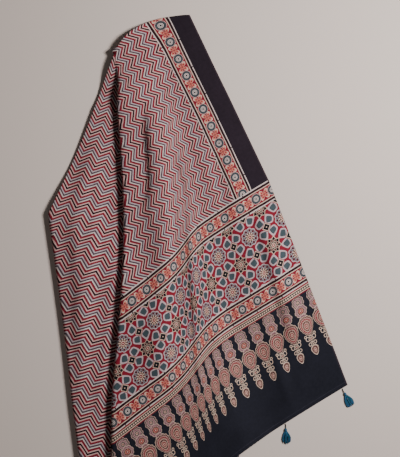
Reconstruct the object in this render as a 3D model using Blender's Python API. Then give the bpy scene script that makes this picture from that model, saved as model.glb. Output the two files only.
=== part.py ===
"""A block-printed cotton dupatta, folded across its middle, pleated once and laid flat.

Metres, +Z up. The print side is up. In the drawing plane +X is right and +Y is up the cloth.
On the flat cloth, u runs from the neck side selvedge and v runs from the tasselled hem.
"""
import math

import bmesh
import bpy
import numpy as np
from mathutils import Vector
from mathutils.bvhtree import BVHTree

# The flat cloth
WIDTH = 1.06
LENGTH = 2.30
THICKNESS = 0.001

# Folds across the cloth: the ridge, and the far end folded back inside
RIDGE = 0.830
INNER_FOLD = 1.570
RIDGE_RADIUS = 0.0020
INNER_RADIUS = 0.0010
STACK_HALF = 0.0030

# The ridge line bows out between the neck side and the pleat
BOW_HEIGHT = 0.0236
BOW_WIDTH = 0.165
BOW_SKEW = 1.4
BOW_ROUND = 0.6

# Where the folded stack lies
NECK_CORNER = (-0.0205, 0.4397)
HEADING = math.radians(64.5)
GRAIN_SHEAR = 0.10
SHEAR_REACH = 0.43
PANEL_START = 0.454
EDGE_DRAW = 0.075
EDGE_DRAW_WIDTH = 0.45

# A soft fold down the front swings all that lies left of it
SWING_AT = (-0.0759, 0.3454)
SWING_AXIS = math.radians(-3.5)
SWING_ANGLE = math.radians(6.5)
SWING_SPREAD = 0.30
SWING_ROOT = 0.030

# The pleat, a tuck that grows from a point on the ridge
PLEAT_AT = (-0.1736, 0.3530)
PLEAT_U = 0.165
PLEAT_EDGE = math.radians(0.6)
PLEAT_TURN = math.radians(17.75)
PLEAT_RADIUS = 0.0050
PLEAT_GROWN = 0.110
PLEAT_SOFT = math.radians(60.0)
POINT_LIFT = 0.0034
POINT_REACH = 0.24

# The pleat's edge bows to the right between these distances below its point
EDGE_BOW = 0.020
EDGE_BOW_START = 0.02
EDGE_BOW_END = 0.72
EDGE_BOW_LEFT = 0.15
EDGE_BOW_RIGHT = 0.26

# The left side turned under
TUCK_AT = (-0.3065, 0.0323)
TUCK_U = 0.512
TUCK_AXIS = math.radians(-7.3)
LEFT_RIDGE = HEADING - SWING_ANGLE - 2 * PLEAT_TURN

# Support under the upper layers fades over this distance
SETTLE_REACH = 0.090
SETTLE_STEPS = 2
SET_RISE = 2 * PLEAT_RADIUS

# Soft relief of the upper layer: start, end, half width, height, fade in from the start
RELIEF = (
    # name, x0, y0, x1, y1, half width, height, fade
    ("front swell", -0.030, 0.330, 0.130, -0.130, 0.085, 0.014, 0.12),
    ("middle swell", -0.090, 0.300, -0.085, -0.250, 0.034, 0.013, 0.12),
    ("first trough", -0.133, 0.330, -0.133, 0.100, 0.016, -0.009, 0.05),
    ("second trough", -0.066, 0.200, -0.032, -0.300, 0.018, -0.010, 0.12),
    ("edge swell", 0.112, 0.050, 0.190, -0.200, 0.026, 0.010, 0.08),
    ("left swell", -0.236, 0.230, -0.262, -0.400, 0.030, 0.012, 0.15),
    ("left trough", -0.196, 0.120, -0.232, -0.420, 0.014, -0.007, 0.10),
)
HEM_DROP = 0.006
HEM_DROP_START = 0.075
HEM_DROP_REACH = 0.060
EDGE_FADE = 0.035
EDGE_CLEAR = 0.012

# How finely the sheet is divided
SNAP = 2e-5
HALVINGS = 30
BEND_STEPS = 4
RELIEF_PITCH = 0.051
COARSE_PITCH = 0.200
BOW_STEPS = 7

# Tassels on the hem
TASSEL_COUNT = 8
TASSEL_FIRST = 0.013
THREAD_LENGTH = 0.010
THREAD_RADIUS = 0.0009
HEAD_LENGTH = 0.007
HEAD_RADIUS = 0.0029
SKIRT_LENGTH = 0.027
SKIRT_HALF_WIDTH = 0.0088
STRAND_WIDTH = 0.0017
STRAND_ROWS = (5, 4, 3)
CLEARANCE = 0.0005
HEM_GAP = 0.0011
TASSEL_LEAN = (6.0, -18.0, 12.0, -9.0, 7.0, -12.0, 10.0, -8.0)

PI = math.pi


def smooth(value):
    """Ease from 0 to 1 as value goes from 0 to 1."""
    value = np.clip(value, 0.0, 1.0)
    return value * value * (3.0 - 2.0 * value)


def bow(u):
    """How far the ridge bows out at this place across the cloth."""
    share = np.clip(u / BOW_WIDTH, 0.0, 1.0) ** BOW_SKEW
    return BOW_HEIGHT * np.maximum(np.sin(PI * share), 0.0) ** BOW_ROUND


def fold_over(along, height, crease, radius):
    """Turn what lies past a crease up and back over the rest."""
    past = along - crease
    turn = np.clip(past / radius, 0.0, PI)
    reach = radius - height
    flat = np.maximum(past - PI * radius, 0.0)
    folded = np.where(past > 0, crease + reach * np.sin(turn) - flat, along)
    return folded, np.where(past > 0, radius - reach * np.cos(turn), height)


def fold_under(along, height, crease, radius):
    """Turn what lies past a crease down and back under the rest."""
    folded, lowered = fold_over(along, -height, crease, radius)
    return folded, -lowered


def from_line(x, y, point, angle):
    """Distances down a line from its point, and to the right of it."""
    dx = x - point[0]
    dy = y - point[1]
    return -dx * np.sin(angle) - dy * np.cos(angle), dx * np.cos(angle) - dy * np.sin(angle)


def to_plane(down, right, point, angle):
    """The place that lies this far down and to the right of a line."""
    x = point[0] - down * np.sin(angle) + right * np.cos(angle)
    return x, point[1] - down * np.cos(angle) - right * np.sin(angle)


def stacked(u, v, n):
    """The cloth folded across, as a flat stack: the place along it and the height in it."""
    along, height = fold_over(v - bow(u), n, INNER_FOLD, INNER_RADIUS)
    along, height = fold_under(along, height, RIDGE, RIDGE_RADIUS)
    return along, height + STACK_HALF


def laid(u, along):
    """The stack placed in plan, sheared, drawn in and swung by the soft fold down the front."""
    down = RIDGE - along - bow(u)
    down = down + GRAIN_SHEAR * u * smooth(down / SHEAR_REACH)
    below = np.maximum(PANEL_START - along, 0.0)
    across = u + EDGE_DRAW * below * (1.0 - smooth(u / EDGE_DRAW_WIDTH))
    x, y = to_plane(across, down, NECK_CORNER, HEADING)
    right = from_line(x, y, SWING_AT, SWING_AXIS)[1]
    dx = x - SWING_AT[0]
    dy = y - SWING_AT[1]
    span = SWING_ROOT + SWING_SPREAD * np.hypot(dx, dy)
    swing = SWING_ANGLE * smooth(0.5 - right / span)
    x = SWING_AT[0] + dx * np.cos(swing) - dy * np.sin(swing)
    y = SWING_AT[1] + dx * np.sin(swing) + dy * np.cos(swing)
    return x, y


def pleat_shape(distance):
    """Steepest tilt, reversed length and cloth taken up by the tuck at this distance."""
    grown = np.clip(distance / PLEAT_GROWN, 0.0, 1.0)
    steep = np.maximum(PI * grown ** 0.8, 0.05)
    bends = 2.0 * PLEAT_RADIUS * (steep - np.sin(steep))
    wanted = 2.0 * PLEAT_TURN * distance * smooth(grown)
    length = np.maximum((wanted - bends) / (1.0 - np.cos(steep)), 0.0)
    return steep, length, length * (1.0 - np.cos(steep)) + bends


def pleated(x, y, height):
    """The stack with its tuck. Also how far outside the tuck, negative on the front panel."""
    dx = x - PLEAT_AT[0]
    dy = y - PLEAT_AT[1]
    distance = np.maximum(np.hypot(dx, dy), 1e-6)
    offset = np.arctan2(-dx, -dy) - PLEAT_EDGE - 0.5 * PLEAT_TURN
    offset = np.mod(offset + PI, 2.0 * PI) - PI
    steep, length, taken = pleat_shape(distance)
    spare = PLEAT_TURN - taken / (2.0 * distance)
    ease = np.sin(0.5 * PI * np.clip(offset / PLEAT_SOFT, -1.0, 1.0))
    arc = distance * (offset - spare * ease)
    side = np.where(arc < 0, -1.0, 1.0)
    arc = np.abs(arc)
    straight = np.minimum(arc, 0.5 * length)
    bend_end = 0.5 * length + PLEAT_RADIUS * steep
    tilt = np.clip((arc - 0.5 * length) / PLEAT_RADIUS - steep, -steep, 0.0)
    tail = np.maximum(arc - bend_end, 0.0)
    shift = straight * np.cos(steep) + PLEAT_RADIUS * (np.sin(tilt) + np.sin(steep)) + tail
    fall = PLEAT_RADIUS * (np.cos(steep) - np.cos(tilt)) - straight * np.sin(steep)
    turn = PLEAT_EDGE - 0.5 * PLEAT_TURN + (side * shift - height * np.sin(tilt)) / distance
    x = PLEAT_AT[0] - distance * np.sin(turn)
    y = PLEAT_AT[1] - distance * np.cos(turn)
    lift = POINT_LIFT * smooth(2.0 * (1.0 - distance / POINT_REACH))
    return x, y, side * fall + height * np.cos(tilt) + lift, side * tail


def tucked(x, y, height):
    """The left side turned under along its own straight fold, and how far past the fold."""
    down, right = from_line(x, y, TUCK_AT, TUCK_AXIS)
    folded, lowered = fold_under(-right, height + SET_RISE, 0.0, PLEAT_RADIUS)
    x, y = to_plane(down, -folded, TUCK_AT, TUCK_AXIS)
    return x, y, lowered - SET_RISE, -right


def ramp(distance):
    """Rise from 0 to 1 over the settling distance, in straight steps."""
    steps = np.linspace(0.0, 1.0, SETTLE_STEPS + 1)
    return np.interp(distance / SETTLE_REACH, steps, smooth(steps))


def settling_lines():
    """Edges of what lies underneath: a point, an angle and the side that is bare."""
    tip_down = WIDTH - TUCK_U
    tip = to_plane(tip_down, 0.0, TUCK_AT, 2 * TUCK_AXIS - LEFT_RIDGE)
    outer = to_plane(WIDTH - PLEAT_U, 0.0, PLEAT_AT, LEFT_RIDGE)
    return (
        ("flap side", TUCK_AT, 2 * TUCK_AXIS - LEFT_RIDGE, 1.0),
        ("flap end", tip, 2 * TUCK_AXIS + PI / 2 - LEFT_RIDGE, 1.0),
        ("outer edge", outer, LEFT_RIDGE - PI / 2, -1.0),
        ("inner pleat fold", PLEAT_AT, PLEAT_EDGE - PLEAT_TURN, 1.0),
    )


def settled(x, y):
    """How far the layers sink where nothing lies underneath."""
    bare = {}
    for name, point, angle, side in settling_lines():
        bare[name] = ramp(side * from_line(x, y, point, angle)[1] - PLEAT_RADIUS)
    flap = np.maximum(bare["flap side"], bare["flap end"])
    left = np.maximum(bare["inner pleat fold"], bare["outer edge"])
    return SET_RISE * (flap + left + bare["inner pleat fold"])


def relief(x, y):
    """Height of the soft swells and troughs of the upper layer."""
    total = np.zeros_like(x)
    for _, x0, y0, x1, y1, half_width, height, fade in RELIEF:
        angle = math.atan2(x0 - x1, y0 - y1)
        down, right = from_line(x, y, (x0, y0), angle)
        length = math.hypot(x1 - x0, y1 - y0)
        rise = smooth(down / fade) * (1.0 - smooth((down - length) / fade))
        total = total + height * rise * np.exp(-(right / half_width) ** 2)
    return np.maximum(total, 0.0)


def upper_share(u, v, x, y, outside, past_tuck):
    """1 where the printed upper layer lies open to the air, easing to 0 at its folds."""
    share = smooth((RIDGE - v + bow(u)) / EDGE_FADE)
    left_of_edge = -from_line(x, y, PLEAT_AT, PLEAT_EDGE)[1] - EDGE_CLEAR
    front = smooth(-outside / EDGE_FADE)
    left = smooth(outside / EDGE_FADE) * smooth(left_of_edge / EDGE_FADE)
    left = left * smooth(-past_tuck / EDGE_FADE)
    return share * front, share * left


def edge_bowed(x, y):
    """The plan with the pleat's edge, and what lies about it, bowed to the right."""
    down, right = from_line(x, y, PLEAT_AT, PLEAT_EDGE)
    share = np.clip((down - EDGE_BOW_START) / (EDGE_BOW_END - EDGE_BOW_START), 0.0, 1.0)
    reach = np.where(right < 0, EDGE_BOW_LEFT, EDGE_BOW_RIGHT)
    near = smooth(1.0 - np.abs(right) / reach)
    bowed = EDGE_BOW * near * np.maximum(np.sin(PI * share), 0.0) ** 1.4
    return to_plane(down, right + bowed, PLEAT_AT, PLEAT_EDGE)


def settled_down(u, v, n):
    """Where a point of the flat cloth ends up before the pleat's edge is bowed."""
    along, height = stacked(u, v, n)
    x, y = laid(u, along)
    x, y, height, outside = pleated(x, y, height)
    x, y, height, past_tuck = tucked(x, y, height)
    front, left = upper_share(u, v, x, y, outside, past_tuck)
    height = height - settled(x, y) + (front + left) * relief(x, y)
    height = height - HEM_DROP * front * smooth((HEM_DROP_START - v) / HEM_DROP_REACH)
    return x, y, height + 2 * SET_RISE + STACK_HALF + THICKNESS


def lay(u, v, n):
    """Where a point of the flat cloth ends up, n above the middle of the sheet."""
    x, y, height = settled_down(u, v, n)
    x, y = edge_bowed(x, y)
    return x, y, height


def flat_stage(u, v):
    """The cloth before any fold, with the bow taken out."""
    return u, v - bow(u)


def plan_stage(u, v):
    """The stack in plan before the pleat."""
    return laid(u, stacked(u, v, 0.0)[0])


def pleat_stage(u, v):
    """The stack in plan after the pleat."""
    x, y, height, _ = pleated(*plan_stage(u, v), stacked(u, v, 0.0)[1])
    return x, y


def final_stage(u, v):
    """The cloth in plan after every fold, before the pleat's edge is bowed."""
    return settled_down(u, v, 0.0)[:2]


def score(mesh, stage, point, angle, offsets, marked=False):
    """Cut the flat sheet where it will cross lines this far to the right of a line in plan."""
    mark = mesh.faces.layers.int["mark"]

    def beyond(places, offset):
        x, y = stage(places[:, 0], places[:, 1])
        return from_line(x, y, point, angle)[1] - offset

    for offset in offsets:
        mesh.verts.index_update()
        places = np.array([vert.co[:2] for vert in mesh.verts])
        side = beyond(places, offset)
        side[np.abs(side) < SNAP] = 0.0
        faces = [face for face in mesh.faces if face[mark] or not marked]
        edges = [edge for edge in {edge for face in faces for edge in face.edges}
                 if side[edge.verts[0].index] * side[edge.verts[1].index] < 0.0]
        on_line = [vert for vert in mesh.verts if side[vert.index] == 0.0]
        if edges:
            start = places[[edge.verts[0].index for edge in edges]]
            step = places[[edge.verts[1].index for edge in edges]] - start
            low = np.zeros((len(edges), 1))
            high = np.ones((len(edges), 1))
            sign = np.sign(beyond(start, offset))
            for _ in range(HALVINGS):
                middle = (low + high) / 2
                same = (np.sign(beyond(start + step * middle, offset)) == sign)[:, None]
                low = np.where(same, middle, low)
                high = np.where(same, high, middle)
            for edge, share in zip(edges, low[:, 0]):
                on_line.append(bmesh.utils.edge_split(edge, edge.verts[0], float(share))[1])
        others = [face for face in mesh.faces if marked and not face[mark]]
        bmesh.ops.connect_verts(mesh, verts=on_line, faces_exclude=others, check_degenerate=True)


def mark_faces(mesh, wanted):
    """Mark the faces whose middle on the flat cloth the test wants."""
    mark = mesh.faces.layers.int["mark"]
    middles = np.array([face.calc_center_median()[:2] for face in mesh.faces])
    for face, answer in zip(mesh.faces, wanted(middles[:, 0], middles[:, 1])):
        face[mark] = int(answer)


def near_pleat_point(u, v):
    """Where the pleat is still growing."""
    x, y = plan_stage(u, v)
    return np.hypot(x - PLEAT_AT[0], y - PLEAT_AT[1]) < 1.8 * PLEAT_GROWN


def shows(u, v):
    """Where the printed upper layer lies open."""
    x, y, height, outside = pleated(*plan_stage(u, v), stacked(u, v, 0.0)[1])
    x, y, height, past_tuck = tucked(x, y, height)
    return sum(upper_share(u, v, x, y, outside, past_tuck)) > 0.02


def divided_sheet():
    """The flat cloth cut along its folds, and finely where its relief shows."""
    mesh = bmesh.new()
    mesh.faces.layers.int.new("mark")
    corners = ((0.0, 0.0), (WIDTH, 0.0), (WIDTH, LENGTH), (0.0, LENGTH))
    mesh.faces.new([mesh.verts.new((u, v, 0.0)) for u, v in corners])
    shares = np.linspace(0.0, 1.0, BEND_STEPS + 1)
    origin = (0.0, 0.0)
    across = -PI / 2
    bowed = np.linspace(0.0, BOW_WIDTH, BOW_STEPS + 1)[1:]
    score(mesh, flat_stage, origin, 0.0, bowed)
    score(mesh, flat_stage, origin, 0.0, np.arange(BOW_WIDTH + COARSE_PITCH, WIDTH, COARSE_PITCH))
    score(mesh, flat_stage, origin, across, RIDGE + PI * RIDGE_RADIUS * shares)
    score(mesh, flat_stage, origin, across, INNER_FOLD + PI * INNER_RADIUS * shares)
    score(mesh, flat_stage, origin, across, np.arange(HEM_DROP_START, LENGTH, COARSE_PITCH))

    bend = PI * PLEAT_RADIUS * (shares - 0.5)
    score(mesh, plan_stage, PLEAT_AT, PLEAT_EDGE, bend)
    score(mesh, plan_stage, PLEAT_AT, PLEAT_EDGE + PLEAT_TURN, bend)
    mark_faces(mesh, near_pleat_point)
    rings = -PLEAT_GROWN * np.linspace(0.15, 1.2, 7)
    score(mesh, plan_stage, PLEAT_AT, PLEAT_EDGE + 0.5 * PLEAT_TURN - PI / 2, rings, True)
    for turn in np.linspace(-PLEAT_SOFT, PLEAT_SOFT, 7):
        score(mesh, plan_stage, PLEAT_AT, PLEAT_EDGE + 0.5 * PLEAT_TURN + turn, (0.0,), True)
    score(mesh, pleat_stage, TUCK_AT, TUCK_AXIS, -PI * PLEAT_RADIUS * shares)

    steps = np.linspace(0.0, SETTLE_REACH, SETTLE_STEPS + 1)
    for _, point, angle, side in settling_lines():
        score(mesh, final_stage, point, angle, side * (steps + PLEAT_RADIUS))
    score(mesh, final_stage, PLEAT_AT, PLEAT_EDGE, (-EDGE_CLEAR,))
    mark_faces(mesh, shows)
    places = np.array([vert.co[:2] for vert in mesh.verts])
    x, y = final_stage(places[:, 0], places[:, 1])
    score(mesh, final_stage, origin, 0.0, np.arange(x.min(), x.max(), RELIEF_PITCH), True)
    score(mesh, final_stage, origin, across, np.arange(y.min(), y.max(), RELIEF_PITCH), True)
    return mesh


def sheet_object(name, mesh):
    """The divided sheet at its thickness, both faces laid and its rim closed."""
    bmesh.ops.dissolve_degenerate(mesh, dist=1e-6, edges=mesh.edges)
    bmesh.ops.triangulate(mesh, faces=mesh.faces[:])
    mesh.verts.index_update()
    count = len(mesh.verts)
    places = np.array([vert.co[:2] for vert in mesh.verts])
    faces = [[vert.index for vert in face.verts] for face in mesh.faces]
    upper = np.stack(lay(places[:, 0], places[:, 1], THICKNESS / 2), axis=-1)
    lower = np.stack(lay(places[:, 0], places[:, 1], -THICKNESS / 2), axis=-1)
    solid = [face[::-1] for face in faces]
    solid += [[index + count for index in face] for face in faces]
    for edge in mesh.edges:
        if edge.is_boundary:
            first = edge.link_loops[0].vert.index
            second = edge.other_vert(edge.link_loops[0].vert).index
            solid.append([first, second, second + count, first + count])
    data = bpy.data.meshes.new(name)
    data.from_pydata(np.concatenate((upper, lower)).tolist(), [], solid)
    data.validate()
    mesh.free()
    thing = bpy.data.objects.new(name, data)
    bpy.context.scene.collection.objects.link(thing)
    return thing


def material(name, colour, roughness):
    """A plain material with the piece's main colour."""
    finish = bpy.data.materials.new(name)
    finish.use_nodes = True
    shader = finish.node_tree.nodes["Principled BSDF"]
    shader.inputs["Base Color"].default_value = (*colour, 1.0)
    shader.inputs["Roughness"].default_value = roughness
    shader.inputs["Metallic"].default_value = 0.0
    return finish


def bar(mesh, points, width):
    """A square bar through these points, level, with closed ends."""
    half = width / 2
    rings = []
    for point in points:
        corners = ((-half, -half), (half, -half), (half, half), (-half, half))
        rings.append([mesh.verts.new((point[0], point[1] + a, point[2] + b)) for a, b in corners])
    for first, second in zip(rings, rings[1:]):
        for k in range(4):
            after = (k + 1) % 4
            mesh.faces.new((first[k], first[after], second[after], second[k]))
    mesh.faces.new(reversed(rings[0]))
    mesh.faces.new(rings[-1])


def loose_object(name, mesh):
    """A mesh turned into an object with its faces pointing out."""
    bmesh.ops.recalc_face_normals(mesh, faces=mesh.faces[:])
    data = bpy.data.meshes.new(name)
    mesh.to_mesh(data)
    mesh.free()
    thing = bpy.data.objects.new(name, data)
    bpy.context.scene.collection.objects.link(thing)
    return thing


def tassel_mesh():
    """Thread, wound head and cut skirt, lying along +X from the hem and fused at the head."""
    head_middle = THREAD_LENGTH + HEAD_LENGTH / 2
    skirt_root = THREAD_LENGTH + 0.8 * HEAD_LENGTH
    row_rise = STRAND_WIDTH + CLEARANCE
    mesh = bmesh.new()
    bmesh.ops.create_uvsphere(mesh, u_segments=8, v_segments=6, radius=1.0)
    for vert in mesh.verts:
        x, y, z = vert.co
        vert.co = (head_middle + x * HEAD_LENGTH / 2, y * HEAD_RADIUS, HEAD_RADIUS * (1 + z))
    head = loose_object("tassel head", mesh)
    parts = bpy.data.collections.new("tassel strands")
    mesh = bmesh.new()
    start = (HEM_GAP, 0.0, THREAD_RADIUS)
    bar(mesh, (start, (head_middle, 0.0, HEAD_RADIUS)), 2 * THREAD_RADIUS)
    pieces = [loose_object("tassel thread", mesh)]
    for row, count in enumerate(STRAND_ROWS):
        height = STRAND_WIDTH / 2 + row * row_rise
        share = count / STRAND_ROWS[0]
        for across in np.linspace(-share, share, count):
            mesh = bmesh.new()
            length = SKIRT_LENGTH * (1.0 - 0.12 * across * across)
            root = (head_middle, 0.0015 * across, HEAD_RADIUS)
            turn = (skirt_root + 0.006, 0.42 * SKIRT_HALF_WIDTH * across, height)
            end = (skirt_root + length, SKIRT_HALF_WIDTH * across, height)
            bar(mesh, (root, turn, end), STRAND_WIDTH)
            pieces.append(loose_object("tassel strand", mesh))
    for piece in pieces:
        bpy.context.scene.collection.objects.unlink(piece)
        parts.objects.link(piece)
    joint = head.modifiers.new("fused roots", "BOOLEAN")
    joint.operation = "UNION"
    joint.operand_type = "COLLECTION"
    joint.collection = parts
    bpy.context.view_layer.update()
    fused = bpy.data.meshes.new_from_object(head.evaluated_get(bpy.context.evaluated_depsgraph_get()))
    fused.name = "tassel"
    for piece in [head] + pieces:
        bpy.data.objects.remove(piece)
    bpy.data.collections.remove(parts)
    return fused


def resting_height(tree, x, y, heading):
    """Highest surface under a tassel that lies from here along its heading."""
    length = THREAD_LENGTH + HEAD_LENGTH + SKIRT_LENGTH
    highest = 0.0
    for down in np.linspace(0.04, 1.0, 12) * length:
        for right in np.linspace(-1.1, 1.1, 5) * SKIRT_HALF_WIDTH * down / length:
            spot = (x + down * math.cos(heading) - right * math.sin(heading),
                    y + down * math.sin(heading) + right * math.cos(heading), 1.0)
            hit = tree.ray_cast(Vector(spot), Vector((0.0, 0.0, -1.0)))[0]
            highest = max(highest, hit.z + CLEARANCE if hit else 0.0)
    return highest


def main():
    """Build the cloth and its tassels and stand them on the origin."""
    for thing in list(bpy.data.objects):
        bpy.data.objects.remove(thing)
    cloth = sheet_object("cloth", divided_sheet())
    cloth.data.materials.append(material("printed cotton", (0.23, 0.06, 0.07), 0.85))
    lowest = min(vert.co.z for vert in cloth.data.vertices)
    for vert in cloth.data.vertices:
        vert.co.z -= lowest
    tree = BVHTree.FromObject(cloth, bpy.context.evaluated_depsgraph_get())

    shape = tassel_mesh()
    shape.materials.clear()
    shape.materials.append(material("tassel yarn", (0.03, 0.11, 0.16), 0.8))
    last = WIDTH - TASSEL_FIRST
    places = np.linspace(TASSEL_FIRST, last, TASSEL_COUNT)
    for number, (u, lean) in enumerate(zip(places, TASSEL_LEAN), start=1):
        u = np.array([u])
        x, y, _ = lay(u, np.array([0.0]), 0.0)
        back_x, back_y, _ = lay(u, np.array([0.01]), 0.0)
        heading = math.atan2(y[0] - back_y[0], x[0] - back_x[0]) + math.radians(lean)
        tassel = bpy.data.objects.new(f"tassel_{number}", shape)
        rest = resting_height(tree, x[0], y[0], heading)
        tassel.location = (x[0], y[0], rest)
        tassel.rotation_euler = (0.0, 0.0, heading)
        bpy.context.scene.collection.objects.link(tassel)

    bpy.context.view_layer.update()
    pieces = list(bpy.context.scene.collection.objects)
    points = [piece.matrix_world @ vert.co for piece in pieces for vert in piece.data.vertices]
    centre_x = (min(p.x for p in points) + max(p.x for p in points)) / 2
    centre_y = (min(p.y for p in points) + max(p.y for p in points)) / 2
    for piece in pieces:
        piece.location.x -= centre_x
        piece.location.y -= centre_y


main()
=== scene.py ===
"""A block-printed cotton dupatta, laid folded on a pale floor with its tassels spread.

Metres, +Z up. On the flat cloth, u runs across it from the neck side selvedge and v runs along it
from the tasselled hem.
"""
import logging
import math
import random
from collections.abc import Callable
from dataclasses import dataclass, field
from enum import Enum

import bmesh
import bpy
import numpy as np
from mathutils import Matrix, Vector

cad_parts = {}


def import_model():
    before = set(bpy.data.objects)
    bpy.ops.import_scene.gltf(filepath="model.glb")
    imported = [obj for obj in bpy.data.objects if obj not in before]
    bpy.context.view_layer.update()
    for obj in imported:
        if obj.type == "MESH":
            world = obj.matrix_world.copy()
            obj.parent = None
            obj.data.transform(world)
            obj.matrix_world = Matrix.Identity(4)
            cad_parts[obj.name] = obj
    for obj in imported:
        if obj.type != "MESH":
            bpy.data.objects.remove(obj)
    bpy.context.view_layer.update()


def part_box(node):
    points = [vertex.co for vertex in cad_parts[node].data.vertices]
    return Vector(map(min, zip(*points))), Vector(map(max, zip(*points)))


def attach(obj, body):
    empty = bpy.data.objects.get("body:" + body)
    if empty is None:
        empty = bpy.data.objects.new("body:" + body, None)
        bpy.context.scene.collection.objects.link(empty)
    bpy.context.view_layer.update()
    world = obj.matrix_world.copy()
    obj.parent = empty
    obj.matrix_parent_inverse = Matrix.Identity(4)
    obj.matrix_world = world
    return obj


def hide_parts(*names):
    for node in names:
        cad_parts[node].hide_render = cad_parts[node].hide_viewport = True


log = logging.getLogger("dupatta")
PI = math.pi
MM = 0.001
MATH = "ShaderNodeMath"
VECTOR_MATH = "ShaderNodeVectorMath"
SEPARATE = "ShaderNodeSeparateXYZ"
COMBINE = "ShaderNodeCombineXYZ"
MIX = "ShaderNodeMix"
NOISE = "ShaderNodeTexNoise"
RAMP = "ShaderNodeValToRGB"
VORONOI = "ShaderNodeTexVoronoi"
BUMP = "ShaderNodeBump"
Stage = Callable[[np.ndarray, np.ndarray], tuple[np.ndarray, np.ndarray]]


# --------------------------------------------------------------------------------------------
# Helpers
# --------------------------------------------------------------------------------------------

def linear(hex_colour: str) -> tuple[float, float, float, float]:
    """Turn an sRGB hex colour into linear light.

    Args:
        hex_colour: Six hex digits, such as "96303A".

    Returns:
        Red, green, blue and an alpha of 1.
    """
    parts = [int(hex_colour[k:k + 2], 16) / 255 for k in (0, 2, 4)]
    return (*(p / 12.92 if p <= 0.04045 else ((p + 0.055) / 1.055) ** 2.4 for p in parts), 1.0)


def add(tree: bpy.types.NodeTree, kind: str, *inputs: object, **settings: object) -> bpy.types.Node:
    """Add a node with its settings and links.

    Args:
        tree: The node tree to add to.
        kind: The node's type.
        *inputs: What goes in each open socket in order: a node, a socket, a value or None.
        **settings: The node's own properties.

    Returns:
        The new node.
    """
    node = tree.nodes.new(kind)
    for name, value in settings.items():
        setattr(node, name, value)
    sockets = [socket for socket in node.inputs if socket.enabled]
    for socket, value in zip(sockets, inputs):
        if isinstance(value, bpy.types.Node):
            value = next(out for out in value.outputs if out.enabled)
        if isinstance(value, bpy.types.NodeSocket):
            tree.links.new(value, socket)
        elif value is not None:
            socket.default_value = value
    return node


def fill_ramp(node: bpy.types.Node, stops: tuple, smooth_steps: bool = False) -> bpy.types.Node:
    """Give a colour ramp its stops.

    Args:
        node: The colour ramp.
        stops: Pairs of a place from 0 to 1 and an sRGB hex colour.
        smooth_steps: Blend between stops, where flat steps are the rule.

    Returns:
        The same node.
    """
    ramp = node.color_ramp
    ramp.interpolation = "LINEAR" if smooth_steps else "CONSTANT"
    while len(ramp.elements) > 1:
        ramp.elements.remove(ramp.elements[-1])
    ramp.elements[0].position = stops[0][0]
    ramp.elements[0].color = linear(stops[0][1])
    for place, colour in stops[1:]:
        ramp.elements.new(place).color = linear(colour)
    return node


def smooth(value: np.ndarray) -> np.ndarray:
    """Ease from 0 to 1 as value goes from 0 to 1."""
    value = np.clip(value, 0.0, 1.0)
    return value * value * (3.0 - 2.0 * value)


# --------------------------------------------------------------------------------------------
# How the flat cloth folds
# --------------------------------------------------------------------------------------------

def fold_over(along: np.ndarray, height: np.ndarray, crease: float,
              radius: float) -> tuple[np.ndarray, np.ndarray]:
    """Turn what lies past a crease up and back over the rest.

    Args:
        along: Place along the cloth, across the crease.
        height: Height above the sheet that turns.
        crease: Where the turn starts.
        radius: Radius of the turn at height 0.

    Returns:
        The new place along and the new height.
    """
    past = along - crease
    turn = np.clip(past / radius, 0.0, PI)
    reach = radius - height
    flat = np.maximum(past - PI * radius, 0.0)
    folded = np.where(past > 0, crease + reach * np.sin(turn) - flat, along)
    return folded, np.where(past > 0, radius - reach * np.cos(turn), height)


def from_line(x: np.ndarray, y: np.ndarray, point: tuple[float, float],
              angle: float) -> tuple[np.ndarray, np.ndarray]:
    """Distances down a line from its point, and to the right of it."""
    dx = x - point[0]
    dy = y - point[1]
    return -dx * np.sin(angle) - dy * np.cos(angle), dx * np.cos(angle) - dy * np.sin(angle)


def to_plane(down: np.ndarray, right: np.ndarray, point: tuple[float, float],
             angle: float) -> tuple[np.ndarray, np.ndarray]:
    """The place that lies this far down and to the right of a line."""
    x = point[0] - down * np.sin(angle) + right * np.cos(angle)
    return x, point[1] - down * np.cos(angle) - right * np.sin(angle)


@dataclass
class Wrinkle:
    """One soft swell or trough of the upper layer.

    Attributes:
        start: Where it starts, in the drawing plane.
        end: Where it ends.
        half_width: Distance from its line at which it has mostly gone.
        height: Its height, negative for a trough.
        fade: Length over which it starts and ends.
    """

    start: tuple[float, float]
    end: tuple[float, float]
    half_width: float
    height: float
    fade: float

    def at(self, x: np.ndarray, y: np.ndarray) -> np.ndarray:
        """Height that this one adds at each place."""
        run = (self.end[0] - self.start[0], self.end[1] - self.start[1])
        down, right = from_line(x, y, self.start, math.atan2(-run[0], -run[1]))
        length = math.hypot(*run)
        rise = smooth(down / self.fade) * (1.0 - smooth((down - length) / self.fade))
        return self.height * rise * np.exp(-(right / self.half_width) ** 2)


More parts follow.
